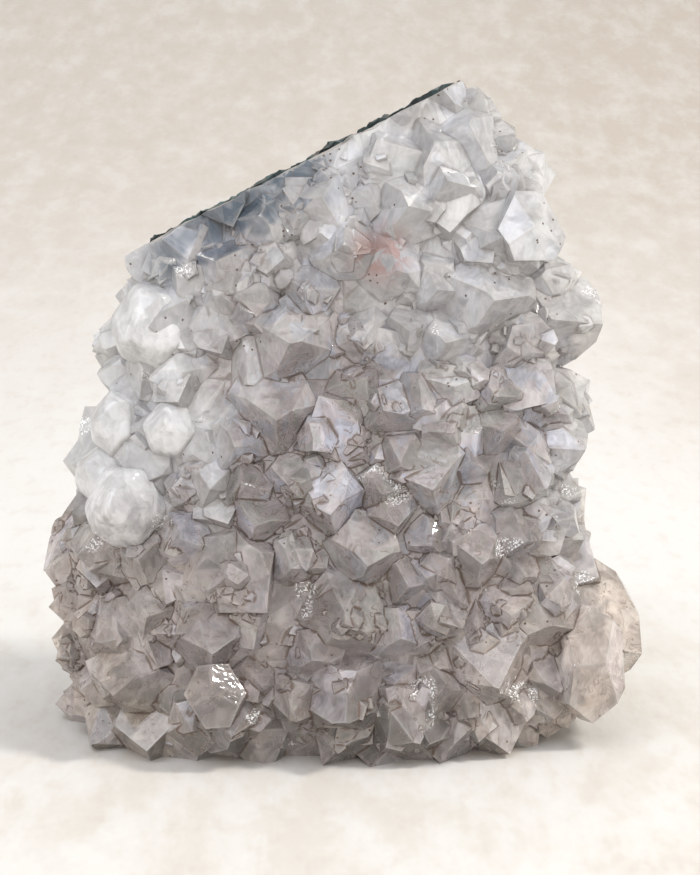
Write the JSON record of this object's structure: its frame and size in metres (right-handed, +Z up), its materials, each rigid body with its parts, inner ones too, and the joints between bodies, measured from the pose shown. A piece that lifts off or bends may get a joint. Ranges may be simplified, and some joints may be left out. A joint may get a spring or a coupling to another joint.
{
  "type": "crystal cluster",
  "caption": "Free-standing amethyst crystal cluster: short hexagonal quartz points crowded over a curved slab, thin dark rock rind behind, flat base and a sloping top edge",
  "frame": {"origin": "on the flat base, under the middle of the massive quartz", "axes": "+Z up, away from the flat base; the crystals face -Y and the rock rind is at +Y; +X is to the right when the crystals are looked at"},
  "size_m": [0.1018, 0.059, 0.1106],
  "materials": {
    "crystals": "pale lilac-grey translucent quartz with a milky inside, whiter at the left and top and smoky at the bottom",
    "rock_rind": "rough dark blue-green volcanic rock"
  },
  "bodies": {
    "root": {"crystals": "crystals", "rock_rind": "rock_rind"}
  },
  "joints": []
}
